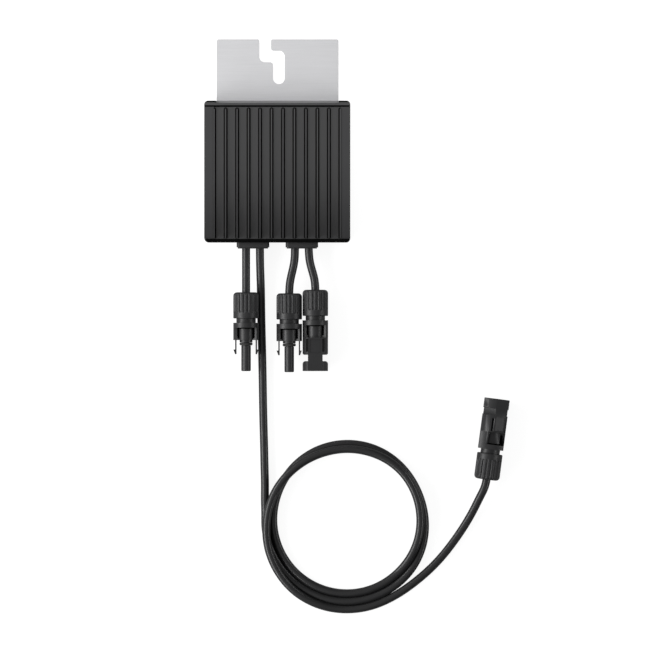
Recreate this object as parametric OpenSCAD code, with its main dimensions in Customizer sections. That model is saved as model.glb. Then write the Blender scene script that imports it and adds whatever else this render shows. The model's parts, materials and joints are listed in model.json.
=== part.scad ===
// Finned power optimizer with a folded bracket, two double glands and four connector leads.
// It lies on its back: +Z is the finned front, +Y points to the bracket, the cables leave at -Y.

/* [Housing] */
// Width of the housing, side to side
housing_w = 111; // [104:0.5:130]
// Height of the housing, from the cable side to the bracket side
housing_h = 107.6; // [104:0.2:125]
// Depth of the whole housing, from the cover's back to the fin tips
housing_d = 28; // [27:0.5:40]
// Thickness of the side walls
wall = 3; // [2.6:0.1:3.6]
// Thickness of the front wall behind the fins
front_wall = 4; // [3:0.1:4.5]
// Radius of the corners in plan
corner_r = 3; // [1:0.1:5]
// Radius of the front edge on the bracket side
top_edge_r = 2.7; // [1:0.1:4]
// Radius of the front edge on the cable side
bottom_edge_r = 3.4; // [1:0.1:4]
// Thickness of the raised lip at the bracket side, measured at the corners
lip_t = 3.6; // [3.2:0.1:5]

/* [Fins] */
// Number of fins between the two side rims
fin_count = 10; // [6:1:13]
// Height of a fin above the floor between fins
fin_h = 5; // [3:0.5:5.5]
// Width of a fin at its root
fin_root_w = 3.05; // [2.2:0.05:3.8]
// Width of a fin at its tip
fin_tip_w = 1.1; // [0.6:0.05:2]
// Floor left free between the fin ends and the lip
fin_end_gap = 1.5; // [0.8:0.1:4]
// Width of the raised rim along each side
rim_w = 7.5; // [5:0.1:9]
// How far the rims stay below the fin tips
rim_drop = 0.5; // [0:0.1:1.5]

/* [Cover] */
// Thickness of the back cover
cover_t = 2; // [1.5:0.1:3]
// Thickness of the gasket under the cover
gasket_t = 1; // [0.6:0.1:1.5]
// Diameter of the cover screws
cover_screw_d = 3; // [2.5:0.1:3.5]
// Depth to which a cover screw reaches into its boss
cover_screw_grip = 9; // [6:0.5:11]
// Diameter of the bosses for the cover screws
boss_d = 8; // [7:0.1:9]

/* [Bracket] */
// Width of the bracket
bracket_w = 93; // [84:0.5:96]
// Height of the bracket plate above the housing
bracket_h = 47.7; // [44:0.1:60]
// Thickness of the bracket's sheet
sheet_t = 2; // [1.5:0.1:2.4]
// Inside radius of the bend
bend_r = 1.6; // [1:0.1:3]
// Depth of the foot on the top wall
foot_d = 23; // [20:0.5:25]
// Diameter of the bracket screws
bracket_screw_d = 4; // [3:0.1:4.5]
// Length of the bracket screws below the foot
bracket_screw_grip = 8; // [6:0.5:9]
// Distance between the two bracket screws
bracket_screw_span = 60; // [50:1:64]

/* [Bolt slot] */
// Width of the bolt slot
slot_w = 9; // [8.4:0.1:10]
// Position of the slot's mouth, from the middle of the bracket
mouth_x = -9.5; // [-14:0.5:-7]
// Position of the slot's closed leg, from the middle of the bracket
leg_x = 1; // [0:0.5:6]
// Depth of the cross channel's middle line below the top edge
channel_y = 13; // [10:0.5:16]
// Depth of the round end's centre below the top edge
slot_end_y = 29.6; // [26:0.1:32]
// Radius of the channel's two outer corners
slot_outer_r = 4.2; // [2:0.1:4.2]
// Radius of the channel's two inner corners
slot_inner_r = 2; // [0.5:0.1:3]
// Radius of the plate's own corners, those at the slot's mouth too
plate_corner_r = 1.2; // [0.5:0.1:4]

/* [Board] */
// Width of the circuit board
board_w = 88; // [84:0.5:90]
// Height of the circuit board
board_h = 82; // [80:0.5:84]
// Thickness of the circuit board
board_t = 1.6; // [1:0.1:2]
// Room between the cover and the board's back
board_room = 3; // [2.8:0.1:3.4]
// Diameter of the board screws
board_screw_d = 2.5; // [2:0.1:3]

/* [Cables] */
// Outside diameter of the cables
cable_d = 6.2; // [5.4:0.1:6.6]
// Distance between the two cables of a gland
cable_pitch = 10.6; // [10:0.1:11]
// Distance from the middle of the housing to each gland
gland_x = 18.65; // [17:0.05:24]
// Width of a gland outside the housing
gland_w = 24.8; // [24.4:0.1:27]
// How far a gland stands out of the housing
gland_out = 4.6; // [3.5:0.1:7]

/* [Connectors] */
// Diameter of the cap nuts and flanges
nut_d = 19.5; // [19:0.1:19.6]
// Length of the cap nuts
nut_l = 20; // [18:0.2:20]
// Number of ribs round a cap nut
nut_ribs = 20; // [12:1:24]
// Diameter of the threaded neck between nut and flange
neck_d = 14.8; // [14:0.1:15.4]
// Diameter of the probe on the socket connectors
probe_d = 7.3; // [6.8:0.1:7.8]
// Distance from a socket connector's cable end to its probe tip
probe_end = 60.2; // [58:0.2:64]
// Width of the shell on the pin connectors
shell_w = 19.4; // [18.6:0.1:19.4]
// Thickness of the shell, front to back
shell_t = 15.6; // [15:0.1:17]
// Distance from a pin connector's cable end to its shell's end
shell_end = 62; // [61:0.2:66]
// Depth of the latch windows in the shell's sides
window_depth = 4.1; // [3.5:0.1:4.2]

/* [Hidden] */
$fn = 48;

// Clearances: sliding seats, screws in their holes, cables in their bores, and how far a cut runs past a face
gap = 0.1;
screw_gap = 0.05;
bore_gap = 0.15;
past = 1;
// Steps of a rounded corner
arc_steps = 6;

// Levels from the floor up
shell_z = cover_t + gasket_t;
floor_z = housing_d - fin_h;
ceiling_z = floor_z - front_wall;
board_z = cover_t + board_room;
parts_z = board_z + board_t;
cable_z = nut_d / 2;

// Faces of the cavity and of the bracket's seat
half_w = housing_w / 2;
half_h = housing_h / 2;
seat_y = half_h - sheet_t;
top_wall = 4;
cavity_x = half_w - wall;
cavity_top = seat_y - top_wall;
cavity_bottom = wall - half_h;
lip_y = half_h - lip_t;
cover_inset = 0.2;
gasket_inset = 0.4;

// Fins
rim_x = half_w - rim_w;
fin_pitch = 2 * rim_x / (fin_count + 1);
fin_end_y = lip_y - fin_end_gap;

// Bosses for the cover screws run into both walls of their corner
boss_bite = 0.5;
boss_x = cavity_x - boss_d / 2 + boss_bite;
boss_top = cavity_top - boss_d / 2 + boss_bite;
boss_bottom = cavity_bottom + boss_d / 2 - boss_bite;
boss_spots = [for (x = [-boss_x, boss_x], y = [boss_bottom, boss_top]) [x, y]];

// Bracket screws along Y, a little in front of the foot's middle
bracket_screw_rise = 1;
bracket_screw_z = foot_d / 2 + bracket_screw_rise;
bracket_spots = [-bracket_screw_span / 2, bracket_screw_span / 2];
bracket_boss_wall = 2.2;
bracket_boss_d = bracket_screw_d + 2 * bracket_boss_wall;
boss_end = 1.6;
hole_spare = 0.5;
bracket_top = half_h + bracket_h;

// Glands: outside block, neck in the wall's slot, inner flange, and a pocket for the grommet
cable_r = cable_d / 2;
bore_r = cable_r + bore_gap;
cable_xs = [for (g = [-gland_x, gland_x], s = [-1, 1]) g + s * cable_pitch / 2];
gland_y = -half_h;
gland_up = 7.6;
gland_overlap = 0.6;
gland_low = shell_z - gland_overlap;
neck_inset = 1.2;
neck_w = gland_w - 2 * neck_inset;
neck_up = gland_up - neck_inset;
inner_flange_t = 3;
grommet_wall = 1.7;
grommet_r = cable_r + grommet_wall;
grommet_out = 1;
grommet_in = 0.6;
grommet_wall_y = gland_y - grommet_out;
grommet_end_y = cavity_bottom + inner_flange_t + grommet_in;
gland_corner = 2.4;
gland_bevel = 0.9;

// Board, midway between the grommets and the top wall, and what stands on it
board_y = (cavity_top + grommet_end_y) / 2;
board_corner_r = 1.5;
board_edge = 4.5;
standoff_wall = 1.75;
standoff_d = board_screw_d + 2 * standoff_wall;
board_head_rim = 1.15;
board_head_d = board_screw_d + 2 * board_head_rim;
board_head_h = 1.6;
board_head_bevel = 0.5;
board_screw_grip = 5.5;
board_spots = [
    for (x = [-1, 1], y = [-1, 1])
        [x * (board_w / 2 - board_edge), board_y + y * (board_h / 2 - board_edge)]
];
transistor_size = [10, 9.2, 4.4];
transistor_xs = [-24, -8, 8, 24];
transistor_up = 22;
transistor_y = board_y + transistor_up;
pad_t = 1;
pad_size = [62, 11];
pedestal_z = parts_z + transistor_size[2] + pad_t;
inductor_xs = [-26, 26];
inductor_d = 25;
inductor_post_d = 11;
inductor_flange_t = 1.8;
inductor_room = 0.8;
inductor_top = ceiling_z - inductor_room;
winding_inset = 1;
capacitor_room = 1.5;
capacitor_size = [8, 18, ceiling_z - parts_z - capacitor_room];
capacitor_corner_r = 1;
capacitor_xs = [-9.5, 0, 9.5];
chip_size = [12, 12, 1.6];
chip_down = 19;
chip_y = board_y - chip_down;
terminal_cap = 1.6;
terminal_size = [8.4, 9, cable_z - parts_z + cable_r + terminal_cap];
terminal_y = board_y - board_h / 2;
terminal_depth = 7;
cable_start_y = terminal_y + terminal_depth;

// Connector stations along the axis, from the nut's cable end; a rib's half widths are shares of the pitch
rib_from = 1.7;
nut_collar = 4.6;
rib_to = nut_l - nut_collar;
rib_depth = 0.7;
rib_root_share = 0.4;
rib_crest_share = 0.27;
nut_shoulder = 2.6;
nut_lid = 3.5;
seal_to = 9.8;
seal_bevel = 1;
tail_from = seal_to + gap;
tail_bevel = 0.4;
cable_stop = 16;
nut_travel = 3.3;
flange_from = nut_l + nut_travel;
flange_t = 3.7;
flange_to = flange_from + flange_t;
barrel_l = 9.5;
barrel_to = flange_to + barrel_l;
barrel_r = 6.1;
side_wall_t = 1.7;
side_wall_angle = 34;
side_web = 1.7;
collar_r = 4.9;
collar_l = 1.8;
ring_groove_r = 2.9;
ring_groove_w = 2.3;
ring_groove_from = barrel_to + collar_l;
ring_groove_to = ring_groove_from + ring_groove_w;
probe_bevel = 0.5;
contact_r = 1.85;
contact_recess = 2;
socket_bore_r = 1;
socket_bore_l = 18;
finger_x = 7.8;
finger_t = 1;
finger_w = 6.4;
finger_l = 10.8;
finger_end = barrel_to + finger_l;
finger_room = 0.3;
barb_l = 3.6;
barb_out = 1.3;
shell_bore_gap = 0.3;
shell_bore_r = collar_r + shell_bore_gap;
shell_floor_t = 2.5;
shell_bore_from = barrel_to + shell_floor_t;
window_back = 12.4;
window_l = 4.9;
window_from = shell_end - window_back;
panel_depth = 0.4;
panel_w = 8.4;
panel_margin = 1.5;
pin_r = 1.5;
pin_root_l = 0.6;
pin_tip_l = 1;
pin_tip_r = 0.8;
pin_recess = 6;
pin_end = shell_end - pin_recess;

// Where each connector's nut begins, chosen so that neighbours lie side by side on the floor
output_socket_at = [cable_xs[0], -91.8, cable_z];
input_socket_at = [9, -92.6, cable_z];
input_pin_at = [28.9, -89.9, cable_z];
output_pin_at = [159.6, -234.7, cable_z];
output_pin_turn = -7.5;
output_pin_roll = 35;

// The long lead's loop: a ring as high as two turns that lean on each other, closed by one strand below.
// The lead joins it on the outside, and the tail leaves from the top and crosses over the lead.
coil_at = [52.5, -267];
coil_inner_r = 52.4;
coil_turn_step = 4.4;
coil_outer_r = coil_inner_r + cable_d + coil_turn_step;
coil_lift = 5.9;
coil_flat = 0.4;
coil_from = 236;
coil_to = 500;
strand_r = coil_inner_r + cable_r;
coil_entry_r = strand_r + cable_d + screw_gap;
coil_exit_r = (coil_inner_r + coil_outer_r) / 2;
over_z = 3 * cable_r + gap;
lead_in = 4;
lead_out = 4;

function on_coil(r, a, z) = [coil_at[0] + r * cos(a), coil_at[1] + r * sin(a), z];
function along_coil(a) = [-sin(a), cos(a), 0];
function cable_end(at, heading) = at + (cable_stop - screw_gap) * heading;

// Routes, each a list of points chosen by hand
down = [0, -1, 0];
output_pin_heading = [sin(-output_pin_turn), cos(output_pin_turn), 0];
coil_entry = on_coil(coil_entry_r, coil_from, cable_r);
coil_exit = on_coil(coil_exit_r, coil_to, cable_r + coil_lift);

output_short_route = [
    [cable_xs[0], cable_start_y, cable_z],
    cable_end(output_socket_at, down)
];
output_lead_route = [
    [cable_xs[1], cable_start_y, cable_z], [cable_xs[1], -60, cable_z],
    [-13.3, -66, 9.4], [-13.1, -76, 7.4], [-12.8, -86, 4.9], [-12.6, -96, 3.5], [-12.4, -110, cable_r],
    [-12, -128, cable_r], [-11.6, -145, cable_r], [-11.3, -162, cable_r], [-11, -180, cable_r],
    [-10.6, -197, cable_r], [-10.2, -212, cable_r], [-9.9, -226, cable_r], [-9.6, -240, cable_r],
    [-9.6, -252, cable_r],
    on_coil(coil_entry_r + 0.7, 175, cable_r), on_coil(coil_entry_r + 0.25, 183, cable_r),
    each [for (a = [191:8:coil_from - 5]) on_coil(coil_entry_r, a, cable_r)],
    coil_entry - lead_in * along_coil(coil_from), coil_entry - screw_gap * along_coil(coil_from)
];
output_tail_route = [
    coil_exit + screw_gap * along_coil(coil_to), coil_exit + lead_out * along_coil(coil_to),
    on_coil(coil_exit_r + 0.6, 150, over_z - 0.2), on_coil(coil_exit_r + 1.4, 160, over_z),
    on_coil(coil_exit_r + 2.2, 170, over_z), on_coil(coil_exit_r + 3.1, 180, over_z + 0.1),
    on_coil(coil_exit_r + 4.2, 190, over_z + 0.1), on_coil(coil_exit_r + 5.2, 200, over_z),
    on_coil(coil_exit_r + 5.9, 208, over_z - 0.15), on_coil(coil_exit_r + 6.8, 216, over_z - 0.5),
    on_coil(coil_exit_r + 7.5, 224, over_z - 0.9), on_coil(coil_exit_r + 8.5, 232, over_z - 1.4),
    on_coil(coil_outer_r + 3.7, 240, over_z - 2.4), on_coil(coil_outer_r + 3.9, 248, over_z - 3.8),
    on_coil(coil_outer_r + 4.15, 256, cable_r + 1.2), on_coil(coil_outer_r + 4.45, 264, cable_r),
    on_coil(coil_outer_r + 4.7, 272, cable_r), on_coil(coil_outer_r + 4.65, 280, cable_r),
    on_coil(coil_outer_r + 4.6, 296, cable_r),
    [93.3, -321.5, cable_r], [107.8, -311, cable_r], [122.3, -297.5, cable_r], [134.3, -282.8, cable_r],
    [143.3, -269.5, 3.9], [150.3, -257, 6], [155.2, -247, 8.4], [158, -241, 9.5],
    output_pin_at, cable_end(output_pin_at, output_pin_heading)
];
input_left_route = [
    [cable_xs[2], cable_start_y, cable_z], [cable_xs[2], -60, cable_z],
    [12.9, -68, cable_z], [11.2, -76.5, cable_z], [9.5, -85, cable_z],
    input_socket_at, cable_end(input_socket_at, down)
];
input_right_route = [
    [cable_xs[3], cable_start_y, cable_z], [cable_xs[3], -60, cable_z],
    [24.6, -67.5, cable_z], [26.4, -75, cable_z], [28.3, -82.5, cable_z],
    input_pin_at, cable_end(input_pin_at, down)
];

// Points of an arc round a centre, from one angle to another
function arc(c, r, from, to) = [
    for (i = [0 : arc_steps])
        let (a = from + (to - from) * i / arc_steps)
        [c[0] + r * cos(a), c[1] + r * sin(a)]
];

// Outline of a rectangle between two corners, with the same radius at all four
function round_box(low, high, r) = concat(
    arc([high[0] - r, high[1] - r], r, 0, 90),
    arc([low[0] + r, high[1] - r], r, 90, 180),
    arc([low[0] + r, low[1] + r], r, 180, 270),
    arc([high[0] - r, low[1] + r], r, 270, 360)
);

function unit(v) = v / norm(v);

// Tube of constant radius swept along a route: one ring of points at each of its points
module tube(route, r, sides = 12) {
    last = len(route) - 1;
    rings = [
        for (i = [0 : last])
            let (
                t = unit(route[min(i + 1, last)] - route[max(i - 1, 0)]),
                side = unit(cross(t, [0, 0, 1])),
                up = cross(side, t)
            )
            for (k = [0 : sides - 1])
                let (a = 360 * (k + 0.5) / sides)
                route[i] + r * (cos(a) * side + sin(a) * up)
    ];
    walls = [
        for (i = [0 : last - 1], k = [0 : sides - 1])
            let (a = i * sides + k, b = i * sides + (k + 1) % sides)
            [a, b, b + sides, a + sides]
    ];
    first_cap = [for (k = [sides - 1 : -1 : 0]) k];
    last_cap = [for (k = [0 : sides - 1]) last * sides + k];
    polyhedron(rings, concat(walls, [first_cap, last_cap]), convexity = 10);
}

// Screw with a countersunk head flush at z = 0, pointing up
module countersunk_screw(d, l) {
    rotate_extrude()
        polygon([[0, 0], [d, 0], [d / 2, d / 2], [d / 2, l], [0, l]]);
}

// Hole for such a screw through a plate that begins at z = 0
module countersunk_hole(d, depth) {
    translate([0, 0, -past])
        cylinder(d = d + 2 * screw_gap, h = depth + 2 * past);
    translate([0, 0, -past])
        cylinder(r1 = d + screw_gap + past, r2 = d / 2 + screw_gap, h = d / 2 + past);
}

// Upright prism from a plan outline between two levels
module prism(points, low, high) {
    translate([0, 0, low])
        linear_extrude(high - low)
            polygon(points);
}

// Carries a shape drawn in the YZ plane along X, the same way to both sides
module along_x(half) {
    rotate([90, 0, 90])
        translate([0, 0, -half])
            linear_extrude(2 * half)
                children();
}

// Prism whose outline lies in the XZ plane, carried along Y from one station to another
module along_y(points, from, to) {
    translate([0, to, 0])
        rotate([90, 0, 0])
            linear_extrude(to - from)
                polygon(points);
}

// Outer form of the casting: the plan outline, with the two long front edges rounded
module casting_form() {
    side = concat(
        [[-half_h, shell_z]],
        arc([bottom_edge_r - half_h, housing_d - bottom_edge_r], bottom_edge_r, 180, 90),
        arc([half_h - top_edge_r, housing_d - top_edge_r], top_edge_r, 90, 0),
        [[half_h, shell_z]]
    );
    intersection() {
        prism(round_box([-half_w, -half_h], [half_w, half_h], corner_r), shell_z, housing_d);
        along_x(half_w + past)
            polygon(side);
    }
}

// One fin: a drafted wall with a half-round drafted end towards the lip
module fin(x) {
    root = fin_root_w / 2;
    tip = fin_tip_w / 2;
    end_y = fin_end_y - root;
    translate([x, 0, floor_z]) {
        along_y([[-root, 0], [root, 0], [tip, fin_h], [-tip, fin_h]], -half_h, end_y);
        translate([0, end_y, 0])
            rotate_extrude(angle = 180)
                polygon([[0, 0], [root, 0], [tip, fin_h], [0, fin_h]]);
    }
}

// Rims along the sides and the lip along the top, as one ridge open at the cable side
module ridge() {
    difference() {
        prism(round_box([-half_w, -half_h], [half_w, half_h], corner_r), floor_z, housing_d - rim_drop);
        translate([-rim_x, -half_h - past, floor_z - past])
            cube([2 * rim_x, lip_y + half_h + past, fin_h + 2 * past]);
    }
}

// Slot in the cable-side wall, open at the back, for a gland's neck
module gland_slot(x) {
    translate([x - neck_w / 2 - gap, -half_h - past, shell_z - past])
        cube([neck_w + 2 * gap, wall + 2 * past, cable_z + neck_up + gap - shell_z + past]);
}

// Room inside the casting, less the bosses, standoffs and pedestal that stand in it
module cavity() {
    difference() {
        translate([-cavity_x, cavity_bottom, shell_z - past])
            cube([2 * cavity_x, cavity_top - cavity_bottom, ceiling_z - shell_z + past]);
        for (spot = boss_spots)
            translate([spot[0], spot[1], shell_z])
                cylinder(d = boss_d, h = ceiling_z);
        for (spot = board_spots)
            translate([spot[0], spot[1], parts_z])
                cylinder(d = standoff_d, h = ceiling_z);
        for (x = bracket_spots)
            translate([x, seat_y, bracket_screw_z])
                rotate([90, 0, 0])
                    cylinder(d = bracket_boss_d, h = bracket_screw_grip + boss_end);
        translate([-pad_size[0] / 2, transistor_y - pad_size[1] / 2, pedestal_z])
            cube([pad_size[0], pad_size[1], ceiling_z]);
    }
}

module heat_sink_housing() {
    color([0.13, 0.13, 0.14])
    difference() {
        intersection() {
            casting_form();
            union() {
                prism(round_box([-half_w, -half_h], [half_w, half_h], corner_r), shell_z, floor_z);
                ridge();
                for (k = [0 : fin_count + 1])
                    fin((k - (fin_count + 1) / 2) * fin_pitch);
            }
        }
        cavity();
        translate([-bracket_w / 2 - gap, seat_y, 0])
            cube([bracket_w + 2 * gap, sheet_t + past, housing_d + past]);
        for (spot = boss_spots)
            translate([spot[0], spot[1], shell_z - past])
                cylinder(d = cover_screw_d + 2 * screw_gap, h = cover_screw_grip + past + hole_spare);
        for (spot = board_spots)
            translate([spot[0], spot[1], parts_z - past])
                cylinder(d = board_screw_d + 2 * screw_gap, h = board_screw_grip + past + hole_spare);
        for (x = bracket_spots)
            translate([x, seat_y + past, bracket_screw_z])
                rotate([90, 0, 0])
                    cylinder(d = bracket_screw_d + 2 * screw_gap, h = bracket_screw_grip + past + hole_spare);
        for (x = [-gland_x, gland_x])
            gland_slot(x);
    }
}

// Plan of the cover and gasket: the housing's, cut back where the bracket's foot comes down
module cover_plan(inset) {
    difference() {
        polygon(round_box([inset - half_w, inset - half_h], [half_w - inset, half_h - inset], corner_r));
        translate([-bracket_w / 2 - gap, seat_y - inset])
            square([bracket_w + 2 * gap, sheet_t + past]);
    }
}

module back_cover() {
    color([0.16, 0.16, 0.17])
    difference() {
        linear_extrude(cover_t)
            cover_plan(cover_inset);
        for (spot = boss_spots)
            translate([spot[0], spot[1], 0])
                countersunk_hole(cover_screw_d, cover_t);
    }
}

module cover_gasket() {
    color([0.06, 0.06, 0.06])
    translate([0, 0, cover_t])
        difference() {
            linear_extrude(gasket_t)
                cover_plan(gasket_inset);
            translate([-cavity_x, cavity_bottom, -past])
                cube([2 * cavity_x, cavity_top - cavity_bottom, gasket_t + 2 * past]);
        }
}

module cover_screws() {
    color([0.55, 0.56, 0.58])
    for (spot = boss_spots)
        translate([spot[0], spot[1], 0])
            countersunk_screw(cover_screw_d, shell_z + cover_screw_grip);
}

// Slot for a bolt: it comes in at the top edge, crosses over and ends in a round seat
module bolt_slot() {
    half = slot_w / 2;
    channel = bracket_top - channel_y;
    mouth_left = mouth_x - half;
    leg_right = leg_x + half;
    difference() {
        union() {
            translate([mouth_left, channel - half])
                square([slot_w, channel_y + half + past]);
            translate([mouth_left, channel - half])
                square([leg_right - mouth_left, slot_w]);
            translate([leg_x - half, bracket_top - slot_end_y])
                square([slot_w, slot_end_y - channel_y + half]);
            translate([leg_x, bracket_top - slot_end_y])
                circle(half);
            corner_cut([mouth_left + slot_w, channel + half], [1, 1], slot_inner_r);
            corner_cut([leg_right - slot_w, channel - half], [-1, -1], slot_inner_r);
            corner_cut([mouth_left, bracket_top], [-1, -1], plate_corner_r);
            corner_cut([mouth_left + slot_w, bracket_top], [1, -1], plate_corner_r);
        }
        corner_cut([mouth_left, channel - half], [1, 1], slot_outer_r);
        corner_cut([leg_right, channel + half], [-1, -1], slot_outer_r);
    }
}

// What rounding a square corner takes off, and a little past it; towards points into the corner
module corner_cut(at, towards, r) {
    low = [for (k = [0, 1]) at[k] - (towards[k] > 0 ? past : r)];
    difference() {
        translate(low)
            square(r + past);
        translate(at + r * towards)
            circle(r);
    }
}

// Side view of the bracket's sheet: plate, bend and foot
module bracket_section() {
    difference() {
        translate([seat_y, 0])
            square([bracket_top - seat_y, foot_d]);
        corner_cut([seat_y, 0], [1, 1], bend_r + sheet_t);
        difference() {
            translate([half_h, sheet_t])
                square([bracket_h + past, foot_d]);
            corner_cut([half_h, sheet_t], [1, 1], bend_r);
        }
    }
}

module mounting_bracket() {
    half = bracket_w / 2;
    color([0.8, 0.81, 0.82])
    difference() {
        along_x(half)
            bracket_section();
        translate([0, 0, -past])
            linear_extrude(sheet_t + 2 * past) {
                bolt_slot();
                corner_cut([-half, bracket_top], [1, -1], plate_corner_r);
                corner_cut([half, bracket_top], [-1, -1], plate_corner_r);
            }
        for (x = bracket_spots)
            translate([x, half_h, bracket_screw_z])
                rotate([90, 0, 0])
                    countersunk_hole(bracket_screw_d, sheet_t);
    }
}

module bracket_screws() {
    color([0.55, 0.56, 0.58])
    for (x = bracket_spots)
        translate([x, half_h, bracket_screw_z])
            rotate([90, 0, 0])
                countersunk_screw(bracket_screw_d, sheet_t + bracket_screw_grip);
}

module circuit_board() {
    color([0.05, 0.3, 0.16])
    difference() {
        prism(round_box(
            [-board_w / 2, board_y - board_h / 2], [board_w / 2, board_y + board_h / 2],
            board_corner_r
        ), board_z, parts_z);
        for (spot = board_spots)
            translate([spot[0], spot[1], board_z - past])
                cylinder(d = board_screw_d + 2 * screw_gap, h = board_t + 2 * past);
    }
}

module board_screws() {
    end = board_head_h + board_t + board_screw_grip;
    color([0.6, 0.6, 0.62])
    for (spot = board_spots)
        translate([spot[0], spot[1], board_z - board_head_h])
            rotate_extrude()
                polygon([
                    [0, 0], [board_head_d / 2 - board_head_bevel, 0], [board_head_d / 2, board_head_bevel],
                    [board_head_d / 2, board_head_h],
                    [board_screw_d / 2, board_head_h], [board_screw_d / 2, end], [0, end]
                ]);
}

module power_transistors() {
    color([0.09, 0.09, 0.1])
    for (x = transistor_xs)
        translate([x - transistor_size[0] / 2, transistor_y - transistor_size[1] / 2, parts_z])
            cube(transistor_size);
}

module thermal_pad() {
    color([0.55, 0.6, 0.68])
    translate([-pad_size[0] / 2, transistor_y - pad_size[1] / 2, pedestal_z - pad_t])
        cube([pad_size[0], pad_size[1], pad_t]);
}

module inductor_cores() {
    r = inductor_d / 2;
    post = inductor_post_d / 2;
    top = inductor_top - parts_z;
    color([0.2, 0.2, 0.21])
    for (x = inductor_xs)
        translate([x, board_y, parts_z])
            rotate_extrude()
                polygon([
                    [0, 0], [r, 0], [r, inductor_flange_t], [post, inductor_flange_t],
                    [post, top - inductor_flange_t], [r, top - inductor_flange_t], [r, top], [0, top]
                ]);
}

module inductor_windings() {
    inside = inductor_post_d / 2 + gap;
    outside = inductor_d / 2 - winding_inset;
    low = inductor_flange_t;
    high = inductor_top - parts_z - inductor_flange_t - gap;
    color([0.72, 0.4, 0.2])
    for (x = inductor_xs)
        translate([x, board_y, parts_z])
            rotate_extrude()
                polygon([[inside, low], [outside, low], [outside, high], [inside, high]]);
}

module film_capacitors() {
    color([0.75, 0.6, 0.25])
    for (x = capacitor_xs)
        translate([x, board_y, 0])
            prism(round_box(
                [-capacitor_size[0] / 2, -capacitor_size[1] / 2],
                [capacitor_size[0] / 2, capacitor_size[1] / 2],
                capacitor_corner_r
            ), parts_z, parts_z + capacitor_size[2]);
}

module controller_chip() {
    color([0.08, 0.08, 0.09])
    translate([-chip_size[0] / 2, chip_y - chip_size[1] / 2, parts_z])
        cube(chip_size);
}

module lead_terminals() {
    color([0.7, 0.6, 0.4])
    for (x = cable_xs)
        difference() {
            translate([x - terminal_size[0] / 2, terminal_y, parts_z])
                cube(terminal_size);
            translate([x, terminal_y + terminal_depth, cable_z])
                rotate([90, 0, 0])
                    cylinder(r = bore_r, h = terminal_depth + past);
        }
}

// Two round holes joined into one slot: the grommet's outline
module grommet_plan(r) {
    for (s = [-1, 1])
        translate([s * cable_pitch / 2, 0])
            circle(r);
    translate([-cable_pitch / 2, -r])
        square([cable_pitch, 2 * r]);
}

// Bores for the two cables of a gland, from one station to another
module cable_bores(r, from, to) {
    for (s = [-1, 1])
        translate([s * cable_pitch / 2, to, cable_z])
            rotate([90, 0, 0])
                cylinder(r = r, h = to - from);
}

// Gland for two cables: the block outside the wall, its neck in the slot and a flange inside
module gland(x) {
    half = gland_w / 2;
    block = round_box([-half, gland_low], [half, cable_z + gland_up], gland_corner);
    front = round_box(
        [gland_bevel - half, gland_low + gland_bevel], [half - gland_bevel, cable_z + gland_up - gland_bevel],
        gland_corner - gland_bevel / 2
    );
    neck = [
        [-neck_w / 2, shell_z + gap], [neck_w / 2, shell_z + gap],
        [neck_w / 2, cable_z + neck_up], [-neck_w / 2, cable_z + neck_up]
    ];
    flange = [
        [-half, shell_z + gap], [half, shell_z + gap],
        [half, cable_z + gland_up], [-half, cable_z + gland_up]
    ];
    color([0.1, 0.1, 0.11])
    translate([x, 0, 0])
        difference() {
            union() {
                along_y(block, gland_y - gland_out + gland_bevel, gland_y - gap);
                along_y(front, gland_y - gland_out, gland_y - gland_out + gland_bevel);
                along_y(neck, gland_y - gap, cavity_bottom + gap);
                along_y(flange, cavity_bottom + gap, cavity_bottom + inner_flange_t);
            }
            cable_bores(bore_r, gland_y - gland_out - past, grommet_wall_y + past);
            translate([0, cavity_bottom + inner_flange_t + past, cable_z])
                rotate([90, 0, 0])
                    linear_extrude(cavity_bottom + inner_flange_t + past - grommet_wall_y)
                        grommet_plan(grommet_r + gap);
        }
}

module output_gland() { gland(-gland_x); }

module input_gland() { gland(gland_x); }

// Rubber grommet that fills a gland's pocket and grips both cables
module grommet(x) {
    color([0.07, 0.07, 0.07])
    translate([x, 0, 0])
        difference() {
            translate([0, grommet_end_y, cable_z])
                rotate([90, 0, 0])
                    linear_extrude(grommet_end_y - grommet_wall_y)
                        grommet_plan(grommet_r);
            cable_bores(cable_r + screw_gap, grommet_wall_y - past, grommet_end_y + past);
        }
}

module output_grommet() { grommet(-gland_x); }

module input_grommet() { grommet(gland_x); }

module output_short_cable() { color([0.1, 0.1, 0.1]) tube(output_short_route, cable_r); }

module output_long_cable_lead() { color([0.1, 0.1, 0.1]) tube(output_lead_route, cable_r); }

module output_long_cable_tail() { color([0.1, 0.1, 0.1]) tube(output_tail_route, cable_r); }

module input_left_cable() { color([0.1, 0.1, 0.1]) tube(input_left_route, cable_r); }

module input_right_cable() { color([0.1, 0.1, 0.1]) tube(input_right_route, cable_r); }

module output_long_cable_coil() {
    section = round_box([coil_inner_r, 0], [coil_outer_r, cable_d + coil_lift], cable_r - coil_flat);
    color([0.1, 0.1, 0.1])
    translate([coil_at[0], coil_at[1], 0]) {
        rotate([0, 0, coil_from])
            rotate_extrude(angle = coil_to - coil_from, $fn = 96)
                polygon(section);
        rotate([0, 0, coil_to - past])
            rotate_extrude(angle = coil_from + 360 - coil_to + 2 * past, $fn = 96)
                translate([strand_r, cable_r])
                    circle(cable_r);
    }
}

// Puts a connector, drawn along +Z from its nut's cable end, with its axis along -Y
module facing_down(at) {
    translate(at)
        rotate([90, 0, 0])
            children();
}

// The same for the free end of the long lead, which points up and lies rolled over
module facing_up(at) {
    translate(at)
        rotate([0, 0, output_pin_turn])
            rotate([-90, 0, 0])
                rotate([0, 0, output_pin_roll])
                    children();
}

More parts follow.
